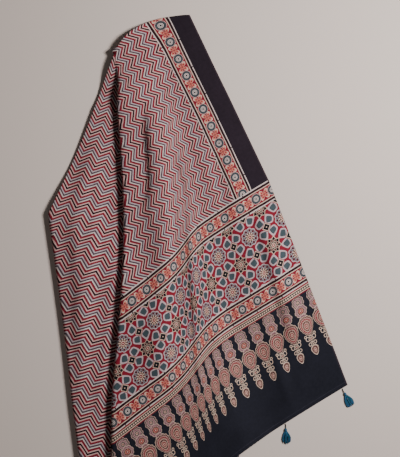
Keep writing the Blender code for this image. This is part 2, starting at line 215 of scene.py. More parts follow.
@dataclass
class Folds:
    """Where each point of the flat cloth lies once it is folded, pleated and laid down."""

    width: float = 1.06
    length: float = 2.30
    thickness: float = 0.001
    ridge: float = 0.830
    inner_fold: float = 1.570
    ridge_radius: float = 0.0020
    inner_radius: float = 0.0010
    stack_half: float = 0.0030
    bow_height: float = 0.0236
    bow_width: float = 0.165
    bow_skew: float = 1.4
    bow_round: float = 0.6
    neck_corner: tuple[float, float] = (-0.0205, 0.4397)
    heading: float = math.radians(64.5)
    grain_shear: float = 0.10
    shear_reach: float = 0.43
    panel_start: float = 0.454
    edge_draw: float = 0.075
    edge_draw_width: float = 0.45
    swing_at: tuple[float, float] = (-0.0759, 0.3454)
    swing_axis: float = math.radians(-3.5)
    swing_angle: float = math.radians(6.5)
    swing_spread: float = 0.30
    swing_root: float = 0.030
    pleat_at: tuple[float, float] = (-0.1736, 0.3530)
    pleat_u: float = 0.165
    pleat_edge: float = math.radians(0.6)
    pleat_turn: float = math.radians(17.75)
    pleat_radius: float = 0.0050
    pleat_grown: float = 0.110
    pleat_soft: float = math.radians(60.0)
    point_lift: float = 0.0034
    point_reach: float = 0.24
    edge_bow: float = 0.020
    edge_bow_start: float = 0.02
    edge_bow_end: float = 0.72
    edge_bow_left: float = 0.15
    edge_bow_right: float = 0.26
    tuck_at: tuple[float, float] = (-0.3065, 0.0323)
    tuck_u: float = 0.512
    tuck_axis: float = math.radians(-7.3)
    settle_reach: float = 0.090
    hem_drop: float = 0.006
    hem_drop_start: float = 0.075
    hem_drop_reach: float = 0.060
    edge_fade: float = 0.035
    edge_clear: float = 0.012
    swells: tuple[Wrinkle, ...] = (
        Wrinkle((-0.030, 0.330), (0.130, -0.130), 0.085, 0.014, 0.12),
        Wrinkle((-0.090, 0.300), (-0.085, -0.250), 0.034, 0.013, 0.12),
        Wrinkle((-0.133, 0.330), (-0.133, 0.100), 0.016, -0.009, 0.05),
        Wrinkle((-0.066, 0.200), (-0.032, -0.300), 0.018, -0.010, 0.12),
        Wrinkle((0.112, 0.050), (0.190, -0.200), 0.026, 0.010, 0.08),
        Wrinkle((-0.236, 0.230), (-0.262, -0.400), 0.030, 0.012, 0.15),
        Wrinkle((-0.196, 0.120), (-0.232, -0.420), 0.014, -0.007, 0.10),
    )
    # Narrower creases and soft folds, too fine for the part's solid.
    creases: tuple[Wrinkle, ...] = (
        Wrinkle((-0.134, 0.330), (-0.140, 0.090), 0.010, -0.007, 0.05),
        Wrinkle((-0.110, 0.260), (-0.116, 0.060), 0.013, 0.004, 0.08),
        Wrinkle((-0.065, 0.170), (-0.037, -0.290), 0.010, -0.009, 0.07),
        Wrinkle((-0.040, 0.060), (-0.006, -0.280), 0.014, 0.005, 0.10),
        Wrinkle((0.020, 0.240), (0.050, 0.020), 0.016, -0.004, 0.09),
        Wrinkle((0.095, 0.060), (0.160, -0.170), 0.011, -0.006, 0.07),
        Wrinkle((0.050, -0.120), (0.080, -0.330), 0.016, -0.004, 0.08),
        Wrinkle((0.130, -0.190), (0.175, -0.330), 0.014, 0.004, 0.06),
        Wrinkle((-0.186, 0.100), (-0.202, -0.330), 0.013, 0.008, 0.09),
        Wrinkle((-0.208, 0.040), (-0.232, -0.400), 0.009, -0.008, 0.08),
        Wrinkle((-0.226, 0.150), (-0.262, -0.120), 0.011, -0.005, 0.07),
        Wrinkle((-0.252, 0.020), (-0.276, -0.300), 0.012, 0.004, 0.08),
    )

    def __post_init__(self) -> None:
        """Work out the values that follow from the sizes."""
        self.left_ridge = self.heading - self.swing_angle - 2 * self.pleat_turn
        self.set_rise = 2 * self.pleat_radius

    def bow(self, u: np.ndarray) -> np.ndarray:
        """How far the ridge bows out at this place across the cloth."""
        share = np.clip(u / self.bow_width, 0.0, 1.0) ** self.bow_skew
        return self.bow_height * np.maximum(np.sin(PI * share), 0.0) ** self.bow_round

    def stacked(self, u: np.ndarray, v: np.ndarray, n: float) -> tuple[np.ndarray, np.ndarray]:
        """The cloth folded across, as a flat stack: the place along it and the height in it."""
        along, height = fold_over(v - self.bow(u), n, self.inner_fold, self.inner_radius)
        along, lowered = fold_over(along, -height, self.ridge, self.ridge_radius)
        return along, self.stack_half - lowered

    def laid(self, u: np.ndarray, along: np.ndarray) -> tuple[np.ndarray, np.ndarray]:
        """The stack placed in plan, sheared, drawn in and swung by the soft fold in front."""
        down = self.ridge - along - self.bow(u)
        down = down + self.grain_shear * u * smooth(down / self.shear_reach)
        below = np.maximum(self.panel_start - along, 0.0)
        across = u + self.edge_draw * below * (1.0 - smooth(u / self.edge_draw_width))
        x, y = to_plane(across, down, self.neck_corner, self.heading)
        right = from_line(x, y, self.swing_at, self.swing_axis)[1]
        dx = x - self.swing_at[0]
        dy = y - self.swing_at[1]
        span = self.swing_root + self.swing_spread * np.hypot(dx, dy)
        swing = self.swing_angle * smooth(0.5 - right / span)
        x = self.swing_at[0] + dx * np.cos(swing) - dy * np.sin(swing)
        y = self.swing_at[1] + dx * np.sin(swing) + dy * np.cos(swing)
        return x, y

    def pleat_shape(self, distance: np.ndarray) -> tuple[np.ndarray, np.ndarray, np.ndarray]:
        """Steepest tilt, reversed length and cloth taken up by the tuck at this distance."""
        grown = np.clip(distance / self.pleat_grown, 0.0, 1.0)
        steep = np.maximum(PI * grown ** 0.8, 0.05)
        bends = 2.0 * self.pleat_radius * (steep - np.sin(steep))
        wanted = 2.0 * self.pleat_turn * distance * smooth(grown)
        length = np.maximum((wanted - bends) / (1.0 - np.cos(steep)), 0.0)
        return steep, length, length * (1.0 - np.cos(steep)) + bends

    def pleated(self, x: np.ndarray, y: np.ndarray, height: np.ndarray) -> tuple[np.ndarray, ...]:
        """The stack with its tuck.

        Args:
            x, y: Place in plan.
            height: Height above the middle of the stack.

        Returns:
            x, y, height and the distance outside the tuck, negative on the front panel.
        """
        dx = x - self.pleat_at[0]
        dy = y - self.pleat_at[1]
        distance = np.maximum(np.hypot(dx, dy), 1e-6)
        offset = np.arctan2(-dx, -dy) - self.pleat_edge - 0.5 * self.pleat_turn
        offset = np.mod(offset + PI, 2.0 * PI) - PI
        steep, length, taken = self.pleat_shape(distance)
        spare = self.pleat_turn - taken / (2.0 * distance)
        ease = np.sin(0.5 * PI * np.clip(offset / self.pleat_soft, -1.0, 1.0))
        arc = distance * (offset - spare * ease)
        side = np.where(arc < 0, -1.0, 1.0)
        arc = np.abs(arc)
        radius = self.pleat_radius
        straight = np.minimum(arc, 0.5 * length)
        tilt = np.clip((arc - 0.5 * length) / radius - steep, -steep, 0.0)
        tail = np.maximum(arc - 0.5 * length - radius * steep, 0.0)
        shift = straight * np.cos(steep) + radius * (np.sin(tilt) + np.sin(steep)) + tail
        fall = radius * (np.cos(steep) - np.cos(tilt)) - straight * np.sin(steep)
        turn = self.pleat_edge - 0.5 * self.pleat_turn
        turn = turn + (side * shift - height * np.sin(tilt)) / distance
        x = self.pleat_at[0] - distance * np.sin(turn)
        y = self.pleat_at[1] - distance * np.cos(turn)
        lift = self.point_lift * smooth(2.0 * (1.0 - distance / self.point_reach))
        return x, y, side * fall + height * np.cos(tilt) + lift, side * tail

    def tucked(self, x: np.ndarray, y: np.ndarray, height: np.ndarray) -> tuple[np.ndarray, ...]:
        """The left side turned under along its own straight fold, and how far past the fold."""
        down, right = from_line(x, y, self.tuck_at, self.tuck_axis)
        folded, lowered = fold_over(-right, -height - self.set_rise, 0.0, self.pleat_radius)
        x, y = to_plane(down, -folded, self.tuck_at, self.tuck_axis)
        return x, y, -lowered - self.set_rise, -right

    def settling_lines(self) -> tuple[tuple, ...]:
        """Edges of what lies underneath: a point, an angle and the side that is bare."""
        flap = 2 * self.tuck_axis - self.left_ridge
        tip = to_plane(self.width - self.tuck_u, 0.0, self.tuck_at, flap)
        outer = to_plane(self.width - self.pleat_u, 0.0, self.pleat_at, self.left_ridge)
        return (
            ("flap side", self.tuck_at, flap, 1.0),
            ("flap end", tip, flap + PI / 2, 1.0),
            ("outer edge", outer, self.left_ridge - PI / 2, -1.0),
            ("inner pleat fold", self.pleat_at, self.pleat_edge - self.pleat_turn, 1.0),
        )

    def settled(self, x: np.ndarray, y: np.ndarray) -> np.ndarray:
        """How far the layers sink where nothing lies underneath."""
        bare = {}
        for name, point, angle, side in self.settling_lines():
            past = side * from_line(x, y, point, angle)[1] - self.pleat_radius
            bare[name] = smooth(past / self.settle_reach)
        flap = np.maximum(bare["flap side"], bare["flap end"])
        left = np.maximum(bare["inner pleat fold"], bare["outer edge"])
        return self.set_rise * (flap + left + bare["inner pleat fold"])

    def upper_share(self, u: np.ndarray, v: np.ndarray, x: np.ndarray, y: np.ndarray,
                    outside: np.ndarray, past_tuck: np.ndarray) -> tuple[np.ndarray, np.ndarray]:
        """1 where the printed upper layer lies open, easing to 0 at its folds: front and left."""
        share = smooth((self.ridge - v + self.bow(u)) / self.edge_fade)
        beside = -from_line(x, y, self.pleat_at, self.pleat_edge)[1] - self.edge_clear
        front = smooth(-outside / self.edge_fade)
        left = smooth(outside / self.edge_fade) * smooth(beside / self.edge_fade)
        left = left * smooth(-past_tuck / self.edge_fade)
        return share * front, share * left

    def edge_bowed(self, x: np.ndarray, y: np.ndarray) -> tuple[np.ndarray, np.ndarray]:
        """The plan with the pleat's edge, and what lies about it, bowed to the right."""
        down, right = from_line(x, y, self.pleat_at, self.pleat_edge)
        share = (down - self.edge_bow_start) / (self.edge_bow_end - self.edge_bow_start)
        reach = np.where(right < 0, self.edge_bow_left, self.edge_bow_right)
        bowed = np.maximum(np.sin(PI * np.clip(share, 0.0, 1.0)), 0.0) ** 1.4
        bowed = self.edge_bow * smooth(1.0 - np.abs(right) / reach) * bowed
        return to_plane(down, right + bowed, self.pleat_at, self.pleat_edge)

    def settled_down(self, u: np.ndarray, v: np.ndarray, n: float) -> tuple[np.ndarray, ...]:
        """x, y and height of flat places before the pleat's edge is bowed."""
        along, height = self.stacked(u, v, n)
        x, y = self.laid(u, along)
        x, y, height, outside = self.pleated(x, y, height)
        x, y, height, past_tuck = self.tucked(x, y, height)
        front, left = self.upper_share(u, v, x, y, outside, past_tuck)
        swell = sum(wrinkle.at(x, y) for wrinkle in self.swells + self.creases)
        swell = np.maximum(swell, 0.0)
        height = height - self.settled(x, y) + (front + left) * swell
        sink = smooth((self.hem_drop_start - v) / self.hem_drop_reach)
        height = height - self.hem_drop * front * sink
        return x, y, height + 2 * self.set_rise + self.stack_half + self.thickness

    def lay(self, u: np.ndarray, v: np.ndarray, n: float) -> np.ndarray:
        """Where points of the flat cloth end up, n above the middle of the sheet.

        Args:
            u, v: Places on the flat cloth.
            n: Height above the middle of the sheet.

        Returns:
            One row of x, y and z for each point.
        """
        x, y, height = self.settled_down(u, v, n)
        return np.stack((*self.edge_bowed(x, y), height), axis=-1)

    def creased(self, u: np.ndarray, v: np.ndarray) -> np.ndarray:
        """Whether each flat place lies in one of the narrow creases."""
        x, y = self.settled_down(u, v, 0.0)[:2]
        depth = sum(np.abs(wrinkle.at(x, y)) for wrinkle in self.creases)
        return depth > 0.0012

    def unfolded_stage(self, u: np.ndarray, v: np.ndarray) -> tuple[np.ndarray, np.ndarray]:
        """The cloth as it was woven."""
        return u, v

    def flat_stage(self, u: np.ndarray, v: np.ndarray) -> tuple[np.ndarray, np.ndarray]:
        """The cloth before any fold, with the bow taken out."""
        return u, v - self.bow(u)

    def plan_stage(self, u: np.ndarray, v: np.ndarray) -> tuple[np.ndarray, np.ndarray]:
        """The stack in plan before the pleat."""
        return self.laid(u, self.stacked(u, v, 0.0)[0])

    def pleat_stage(self, u: np.ndarray, v: np.ndarray) -> tuple[np.ndarray, np.ndarray]:
        """The stack in plan after the pleat."""
        return self.pleated(*self.plan_stage(u, v), self.stacked(u, v, 0.0)[1])[:2]


# --------------------------------------------------------------------------------------------
# The print and its cotton
# --------------------------------------------------------------------------------------------

class Print(Enum):
    """The printed parts of the cloth, in the order of their material slots."""

    PLAIN = "plain_dyed_cotton"
    FIELD = "zigzag_printed_cotton"
    BAND = "border_printed_cotton"
    STARS = "star_panel_printed_cotton"
    BEADS = "bead_strip_printed_cotton"
    FINGERS = "finger_row_printed_cotton"


@dataclass(frozen=True)
class Dyes:
    """Madder, indigo and iron dyes on cotton, as sRGB hex values."""

    iron_black: str = "161218"
    plain_black: str = "1C1C25"
    margin_black: str = "231A22"
    madder: str = "7D1B2B"
    maroon: str = "4A121C"
    pink: str = "CBA09A"
    cream: str = "CFB3A0"
    white: str = "CDBAB4"
    slate: str = "3F4B50"
    ash: str = "4B4148"
    lavender: str = "B9A3A6"
    grey_brown: str = "352C31"
    mauve: str = "77495A"
    salmon: str = "CC7160"
    stitching: str = "3A3742"
    selvedge: str = "3E3038"


@dataclass(frozen=True)
class PrintedCotton:
    """Plain-woven cotton, dyed and printed from carved blocks.

    It is matt, with a faint fuzz that catches light at low angles, and its colour is a little
    uneven where the block took more or less paste.
    """

    roughness: float = 0.88
    sheen: float = 0.06
    sheen_roughness: float = 0.4
    # Threads are about 0.35 mm apart. They are drawn three times as coarse, so that they show.
    thread_spacing: float = 1.05 * MM
    thread_height: float = 0.12 * MM
    uneven: float = 0.14
    # Soft puckers that stay in washed cotton, 15 to 40 mm across.
    pucker_height: float = 1.6 * MM
    dyes: Dyes = field(default_factory=Dyes)

    def material(self, part: Print) -> bpy.types.Material:
        """Make the material of one printed part.

        Args:
            part: Which part of the print.

        Returns:
            The material.
        """
        material = bpy.data.materials.new(part.value)
        material.use_nodes = True
        tree = material.node_tree
        shader = tree.nodes["Principled BSDF"]
        cloth = add(tree, "ShaderNodeUVMap", uv_map="cloth")
        wander = add(tree, NOISE, cloth, 45.0, 2.0, 0.5)
        wander = add(tree, VECTOR_MATH, wander.outputs["Color"], (0.5, 0.5, 0.5),
                     operation="SUBTRACT")
        wander = add(tree, VECTOR_MATH, wander, 1.6 * MM, operation="SCALE")
        printed = add(tree, VECTOR_MATH, cloth, wander, operation="ADD")
        place = add(tree, SEPARATE, printed)
        colour = PATTERNS[part](tree, self.dyes, printed, place.outputs[0], place.outputs[1])
        uneven = add(tree, NOISE, cloth, 160.0, 4.0, 0.6)
        shade = add(tree, "ShaderNodeMapRange", uneven, 0.3, 0.7, 1 - self.uneven, 1 + self.uneven)
        colour = add(tree, VECTOR_MATH, colour, shade, operation="SCALE")
        tree.links.new(colour.outputs[0], shader.inputs["Base Color"])
        threads = self.weave(tree, cloth)
        puckers = add(tree, NOISE, cloth, 38.0, 3.0, 0.55)
        bump = add(tree, BUMP, 0.75, self.pucker_height, None, puckers)
        bump = add(tree, BUMP, 0.6, self.thread_height, None, threads, bump)
        tree.links.new(bump.outputs[0], shader.inputs["Normal"])
        shader.inputs["Roughness"].default_value = self.roughness
        shader.inputs["Sheen Weight"].default_value = self.sheen
        shader.inputs["Sheen Roughness"].default_value = self.sheen_roughness
        shader.inputs["Specular IOR Level"].default_value = 0.15
        shader.inputs["IOR"].default_value = 1.5
        return material

    def weave(self, tree: bpy.types.NodeTree, cloth: bpy.types.Node) -> bpy.types.Node:
        """Height of the plain weave: warp and weft threads that pass over each other."""
        turns = add(tree, VECTOR_MATH, cloth, PI / self.thread_spacing, operation="SCALE")
        parts = add(tree, SEPARATE, turns)
        warp = add(tree, MATH, parts.outputs[0], operation="SINE")
        weft = add(tree, MATH, parts.outputs[1], operation="SINE")
        return add(tree, MATH, warp, weft, operation="MULTIPLY")


def plain_pattern(tree: bpy.types.NodeTree, dyes: Dyes, place: bpy.types.Node,
                  x: bpy.types.NodeSocket, y: bpy.types.NodeSocket) -> bpy.types.Node:
    """The black ends and side margins, dyed in indigo over iron, with a hem stitched at 8 mm."""
    cloudy = add(tree, NOISE, place, 14.0, 3.0, 0.6)
    side = add(tree, MATH, y, 0.2, operation="GREATER_THAN")
    ground = add(tree, MIX, side, linear(dyes.plain_black), linear(dyes.margin_black),
                 data_type="RGBA")
    cloudy = add(tree, "ShaderNodeMapRange", cloudy, 0.3, 0.7, 0.85, 1.15)
    ground = add(tree, VECTOR_MATH, ground, cloudy, operation="SCALE")
    on_line = add(tree, MATH, y, 8 * MM, 0.4 * MM, operation="COMPARE")
    stitch = add(tree, MATH, x, 3.4 * MM, operation="DIVIDE")
    stitch = add(tree, MATH, stitch, operation="FRACT")
    stitch = add(tree, MATH, stitch, 0.62, operation="LESS_THAN")
    stitch = add(tree, MATH, stitch, on_line, operation="MULTIPLY")
    ground = add(tree, MIX, stitch, ground, linear(dyes.stitching), data_type="RGBA")
    edge = add(tree, MATH, x, 0.53, operation="PINGPONG")
    edge = add(tree, MATH, edge, 3 * MM, operation="LESS_THAN")
    edge = add(tree, MATH, edge, 0.5, operation="MULTIPLY")
    return add(tree, MIX, edge, ground, linear(dyes.selvedge), data_type="RGBA")


def zigzag_pattern(tree: bpy.types.NodeTree, dyes: Dyes, place: bpy.types.Node,
                   x: bpy.types.NodeSocket, y: bpy.types.NodeSocket) -> bpy.types.Node:
    """Eight lines of zigzag to a repeat of 30.5 mm, with points every 29.3 mm."""
    climb = add(tree, MATH, y, 14.65 * MM, operation="PINGPONG")
    q = add(tree, MATH, x, climb, operation="ADD")
    q = add(tree, MATH, q, 30.5 * MM, operation="DIVIDE")
    q = add(tree, MATH, q, operation="FRACT")
    return fill_ramp(add(tree, RAMP, q), (
        (0.0, dyes.iron_black), (0.135, dyes.pink), (0.235, dyes.madder), (0.36, dyes.maroon),
        (0.395, dyes.lavender), (0.495, dyes.ash), (0.63, dyes.white), (0.73, dyes.maroon),
        (0.77, dyes.madder), (0.90, dyes.pink)))


def band_pattern(tree: bpy.types.NodeTree, dyes: Dyes, place: bpy.types.Node,
                 x: bpy.types.NodeSocket, y: bpy.types.NodeSocket) -> bpy.types.Node:
    """A band 41 mm wide: medallions and crosses on red between rope lines."""
    across = add(tree, MATH, y, operation="ABSOLUTE")
    edge = add(tree, MATH, across, 20.5 * MM, operation="DIVIDE")
    ground = fill_ramp(add(tree, RAMP, edge), (
        (0.0, dyes.madder), (0.60, dyes.cream), (0.68, dyes.iron_black), (0.90, dyes.white)))
    slant = add(tree, MATH, across, 0.7, operation="MULTIPLY")
    slant = add(tree, MATH, x, slant, operation="ADD")
    slant = add(tree, MATH, slant, 3.2 * MM, operation="DIVIDE")
    slant = add(tree, MATH, slant, operation="FRACT")
    slit = add(tree, MATH, slant, 0.22, operation="LESS_THAN")
    rope = add(tree, MATH, across, 16.5 * MM, 1.9 * MM, operation="COMPARE")
    slit = add(tree, MATH, slit, rope, operation="MULTIPLY")
    ground = add(tree, MIX, slit, ground, linear(dyes.maroon), data_type="RGBA")

    cell = add(tree, VECTOR_MATH, place, (19 * MM, 1.0, 1.0), (-19 * MM, -1.0, -1.0),
               operation="WRAP")
    medallion = rosette(tree, cell, 12, 0.07, 11.0 * MM, (
        (0.0, dyes.iron_black), (0.17, dyes.white), (0.30, dyes.slate), (0.38, dyes.white),
        (0.50, dyes.iron_black), (0.60, dyes.slate), (0.80, dyes.grey_brown), (0.90, dyes.pink)))
    shifted = add(tree, VECTOR_MATH, place, (19 * MM, 0.0, 0.0), operation="ADD")
    cell = add(tree, VECTOR_MATH, shifted, (19 * MM, 1.0, 1.0), (-19 * MM, -1.0, -1.0),
               operation="WRAP")
    parts = add(tree, SEPARATE, cell)
    angle = add(tree, MATH, parts.outputs[1], parts.outputs[0], operation="ARCTAN2")
    double = add(tree, MATH, angle, 2.0, operation="MULTIPLY")
    petal = add(tree, MATH, double, operation="SINE")
    petal = add(tree, MATH, petal, operation="ABSOLUTE")
    petal = add(tree, MATH, petal, 0.12, operation="MAXIMUM")
    radius = add(tree, VECTOR_MATH, cell, operation="LENGTH")
    reach = add(tree, MATH, petal, 12.8 * MM, operation="MULTIPLY")
    inside = add(tree, MATH, radius, reach, operation="DIVIDE")
    cross = fill_ramp(add(tree, RAMP, inside), (
        (0.0, dyes.madder), (0.20, dyes.salmon), (0.42, dyes.madder), (0.58, dyes.salmon),
        (0.80, dyes.cream)))
    cross_mask = add(tree, MATH, inside, 1.0, operation="LESS_THAN")
    near = add(tree, MATH, across, 11.6 * MM, operation="LESS_THAN")
    cross_mask = add(tree, MATH, cross_mask, near, operation="MULTIPLY")
    ground = add(tree, MIX, cross_mask, ground, cross, data_type="RGBA")
    # The block is 61 mm long, and its outer line doesn't quite meet at the joints.
    joint = add(tree, MATH, x, 61 * MM, operation="DIVIDE")
    joint = add(tree, MATH, joint, operation="FRACT")
    joint = add(tree, MATH, joint, 0.035, operation="LESS_THAN")
    outer = add(tree, MATH, across, 18.2 * MM, operation="GREATER_THAN")
    joint = add(tree, MATH, joint, outer, operation="MULTIPLY")
    ground = add(tree, MIX, joint, ground, linear(dyes.iron_black), data_type="RGBA")
    return add(tree, MIX, medallion[1], ground, medallion[0], data_type="RGBA")


def rosette(tree: bpy.types.NodeTree, cell: bpy.types.Node, petals: int, depth: float,
            radius: float, rings: tuple) -> tuple[bpy.types.Node, bpy.types.Node]:
    """A round flower of scalloped rings about the middle of a cell.

    Args:
        tree: The node tree.
        cell: Place from the flower's middle.
        petals: How many scallops go round it.
        depth: Share of the radius that the scallops cut in.
        radius: Its outer radius.
        rings: Stops of the ring colours from the middle out.

    Returns:
        Its colour, and a mask that is 1 inside it.
    """
    parts = add(tree, SEPARATE, cell)
    angle = add(tree, MATH, parts.outputs[1], parts.outputs[0], operation="ARCTAN2")
    angle = add(tree, MATH, angle, petals / 2, operation="MULTIPLY")
    scallop = add(tree, MATH, angle, operation="COSINE")
    scallop = add(tree, MATH, scallop, operation="ABSOLUTE")
    scallop = add(tree, MATH, scallop, depth * radius, (1 - depth) * radius,
                  operation="MULTIPLY_ADD")
    distance = add(tree, VECTOR_MATH, cell, operation="LENGTH")
    inside = add(tree, MATH, distance, scallop, operation="DIVIDE")
    colour = fill_ramp(add(tree, RAMP, inside), rings)
    return colour, add(tree, MATH, inside, 1.0, operation="LESS_THAN")


def ring_of_dots(tree: bpy.types.NodeTree, cell: bpy.types.Node, count: int, ring: float,
                 radius: float) -> bpy.types.Node:
    """A mask that is 1 inside each of a ring of dots about the middle of a cell.

    Args:
        tree: The node tree.
        cell: Place from the ring's middle.
        count: How many dots there are.
        ring: Radius of the ring.
        radius: Radius of each dot.

    Returns:
        The mask.
    """
    parts = add(tree, SEPARATE, cell)
    angle = add(tree, MATH, parts.outputs[1], parts.outputs[0], operation="ARCTAN2")
    angle = add(tree, MATH, angle, PI / count, -PI / count, operation="WRAP")
    distance = add(tree, VECTOR_MATH, cell, operation="LENGTH")
    sideways = add(tree, MATH, angle, distance, operation="MULTIPLY")
    outwards = add(tree, MATH, distance, ring, operation="SUBTRACT")
    apart = add(tree, COMBINE, sideways, outwards, 0.0)
    apart = add(tree, VECTOR_MATH, apart, operation="LENGTH")
    return add(tree, MATH, apart, radius, operation="LESS_THAN")


def star_pattern(tree: bpy.types.NodeTree, dyes: Dyes, place: bpy.types.Node,
                 x: bpy.types.NodeSocket, y: bpy.types.NodeSocket) -> bpy.types.Node:
    """The end panel: rosettes every 79 mm, each ringed by eight kites, with stars between."""
    half = 39.5 * MM
    cell = add(tree, VECTOR_MATH, place, (half, half, 1.0), (-half, -half, -1.0),
               operation="WRAP")
    parts = add(tree, SEPARATE, cell)
    angle = add(tree, MATH, parts.outputs[1], parts.outputs[0], operation="ARCTAN2")
    radius = add(tree, VECTOR_MATH, cell, operation="LENGTH")
    eighth = PI / 8
    sector = add(tree, MATH, angle, 2 * eighth, 0.0, operation="WRAP")
    sector = add(tree, MATH, sector, eighth, operation="SUBTRACT")
    sideways = add(tree, MATH, sector, operation="SINE")
    sideways = add(tree, MATH, sideways, radius, operation="MULTIPLY")
    outwards = add(tree, MATH, sector, operation="COSINE")
    outwards = add(tree, MATH, outwards, radius, operation="MULTIPLY")
    outwards = add(tree, MATH, outwards, 30.5 * MM, operation="SUBTRACT")
    taper = add(tree, MATH, outwards, 0.30, 10.4 * MM, operation="MULTIPLY_ADD")
    wide = add(tree, MATH, sideways, taper, operation="DIVIDE")
    tall = add(tree, MATH, outwards, 11.0 * MM, operation="DIVIDE")
    kite = add(tree, COMBINE, wide, tall, 0.0)
    kite = add(tree, VECTOR_MATH, kite, kite, operation="MULTIPLY")
    kite = add(tree, VECTOR_MATH, kite, operation="LENGTH")
    ground = fill_ramp(add(tree, RAMP, kite), (
        (0.0, dyes.slate), (0.29, dyes.grey_brown), (0.34, dyes.lavender), (0.76, dyes.madder)))

    shifted = add(tree, VECTOR_MATH, place, (half, 0.0, 0.0), operation="ADD")
    turned = add(tree, SEPARATE, shifted)
    diagonal_up = add(tree, MATH, turned.outputs[0], turned.outputs[1], operation="ADD")
    diagonal_down = add(tree, MATH, turned.outputs[0], turned.outputs[1], operation="SUBTRACT")
    both = add(tree, COMBINE, diagonal_up, diagonal_down, 0.0)
    lattice = add(tree, VECTOR_MATH, both, (half, half, 1.0), (-half, -half, -1.0),
                  operation="WRAP")
    lattice = add(tree, VECTOR_MATH, lattice, operation="ABSOLUTE")
    corner = add(tree, SEPARATE, lattice)
    first = add(tree, MATH, corner.outputs[0], corner.outputs[1], operation="MAXIMUM")
    square = add(tree, MATH, first, 11.2 * MM, operation="DIVIDE")
    tile = fill_ramp(add(tree, RAMP, square), (
        (0.0, dyes.cream), (0.14, dyes.iron_black), (0.68, dyes.cream), (0.84, dyes.madder)))
    tile_mask = add(tree, MATH, square, 1.0, operation="LESS_THAN")
    ground = add(tree, MIX, tile_mask, ground, tile, data_type="RGBA")

    flower, mask = rosette(tree, cell, 10, 0.12, 18.6 * MM, (
        (0.0, dyes.cream), (0.08, dyes.madder), (0.20, dyes.cream), (0.29, dyes.maroon),
        (0.52, dyes.slate), (0.90, dyes.lavender)))
    ground = add(tree, MIX, mask, ground, flower, data_type="RGBA")

    centred = add(tree, VECTOR_MATH, place, (half, half, 0.0), operation="ADD")
    centred = add(tree, VECTOR_MATH, centred, (half, half, 1.0), (-half, -half, -1.0),
                  operation="WRAP")
    star, mask = rosette(tree, centred, 8, -0.32, 14.0 * MM, (
        (0.0, dyes.cream), (0.10, dyes.madder), (0.22, dyes.cream), (0.31, dyes.iron_black),
        (0.90, dyes.cream)))
    ground = add(tree, MIX, mask, ground, star, data_type="RGBA")
    for middle, count, ring, radius, colour in (
        (cell, 10, 12.9 * MM, 3.2 * MM, dyes.lavender),
        (cell, 10, 13.2 * MM, 2.5 * MM, dyes.maroon),
        (cell, 10, 7.8 * MM, 1.5 * MM, dyes.cream),
        (centred, 8, 9.3 * MM, 2.9 * MM, dyes.cream),
        (centred, 8, 9.4 * MM, 2.2 * MM, dyes.maroon),
    ):
        petals = ring_of_dots(tree, middle, count, ring, radius)
        ground = add(tree, MIX, petals, ground, linear(colour), data_type="RGBA")
    return ground


def bead_pattern(tree: bpy.types.NodeTree, dyes: Dyes, place: bpy.types.Node,
                 x: bpy.types.NodeSocket, y: bpy.types.NodeSocket) -> bpy.types.Node:
    """A strip 15 mm wide: red and black lines with a row of cream beads between."""
    height = add(tree, MATH, y, 15 * MM, operation="DIVIDE")
    ground = fill_ramp(add(tree, RAMP, height), (
        (0.0, dyes.madder), (0.14, dyes.cream), (0.24, dyes.iron_black), (0.70, dyes.cream),
        (0.80, dyes.madder)))
    moved = add(tree, VECTOR_MATH, place, (0.0, -7.0 * MM, 0.0), operation="ADD")
    cell = add(tree, VECTOR_MATH, moved, (2.6 * MM, 1.0, 1.0), (-2.6 * MM, -1.0, -1.0),
               operation="WRAP")
    distance = add(tree, VECTOR_MATH, cell, operation="LENGTH")
    bead = add(tree, MATH, distance, 1.9 * MM, operation="LESS_THAN")
    return add(tree, MIX, bead, ground, linear(dyes.cream), data_type="RGBA")


@dataclass(frozen=True)
class Motif:
    """One scalloped flower or drop of a finger.

    Attributes:
        height: Its middle above the finger's tip.
        half_width: Half its width.
        half_height: Half its height.
        petals: How many scallops go round it.
        depth: Share of its radius that they cut in.
        taper: How much narrower it is at its foot, as a share of its width.
        rings: Stops of its colours from the middle out, as names of dyes.
    """

    height: float
    half_width: float
    half_height: float
    petals: int
    depth: float
    taper: float
    rings: tuple[tuple[float, str], ...]


FINGER = (
    Motif(115 * MM, 14.0 * MM, 14.0 * MM, 9, 0.12, 0.0, (
        (0.0, "madder"), (0.12, "cream"), (0.18, "grey_brown"), (0.38, "pink"), (0.43, "mauve"),
        (0.66, "cream"), (0.70, "grey_brown"), (0.93, "pink"))),
    Motif(97 * MM, 14.5 * MM, 12.5 * MM, 8, 0.14, 0.0, (
        (0.0, "cream"), (0.10, "madder"), (0.28, "salmon"), (0.36, "maroon"), (0.58, "cream"),
        (0.62, "mauve"), (0.93, "cream"))),
    Motif(81 * MM, 9.5 * MM, 9.0 * MM, 6, 0.16, 0.0, (
        (0.0, "salmon"), (0.22, "maroon"), (0.55, "mauve"), (0.88, "cream"))),
    Motif(63 * MM, 15.8 * MM, 21.0 * MM, 16, 0.05, 0.45, (
        (0.0, "madder"), (0.09, "cream"), (0.14, "madder"), (0.30, "cream"), (0.34, "maroon"),
        (0.52, "cream"), (0.57, "madder"), (0.76, "pink"), (0.80, "maroon"), (0.95, "cream"))),
    Motif(36 * MM, 6.0 * MM, 7.5 * MM, 4, 0.30, 0.0, (
        (0.0, "madder"), (0.30, "cream"), (0.46, "iron_black"), (0.80, "cream"))),
    Motif(24 * MM, 5.0 * MM, 5.0 * MM, 4, 0.25, 0.0, (
        (0.0, "cream"), (0.30, "iron_black"), (0.76, "cream"))),
    Motif(11 * MM, 7.8 * MM, 11.0 * MM, 12, 0.05, 0.40, (
        (0.0, "cream"), (0.14, "madder"), (0.34, "cream"), (0.43, "maroon"), (0.84, "cream"))),
)


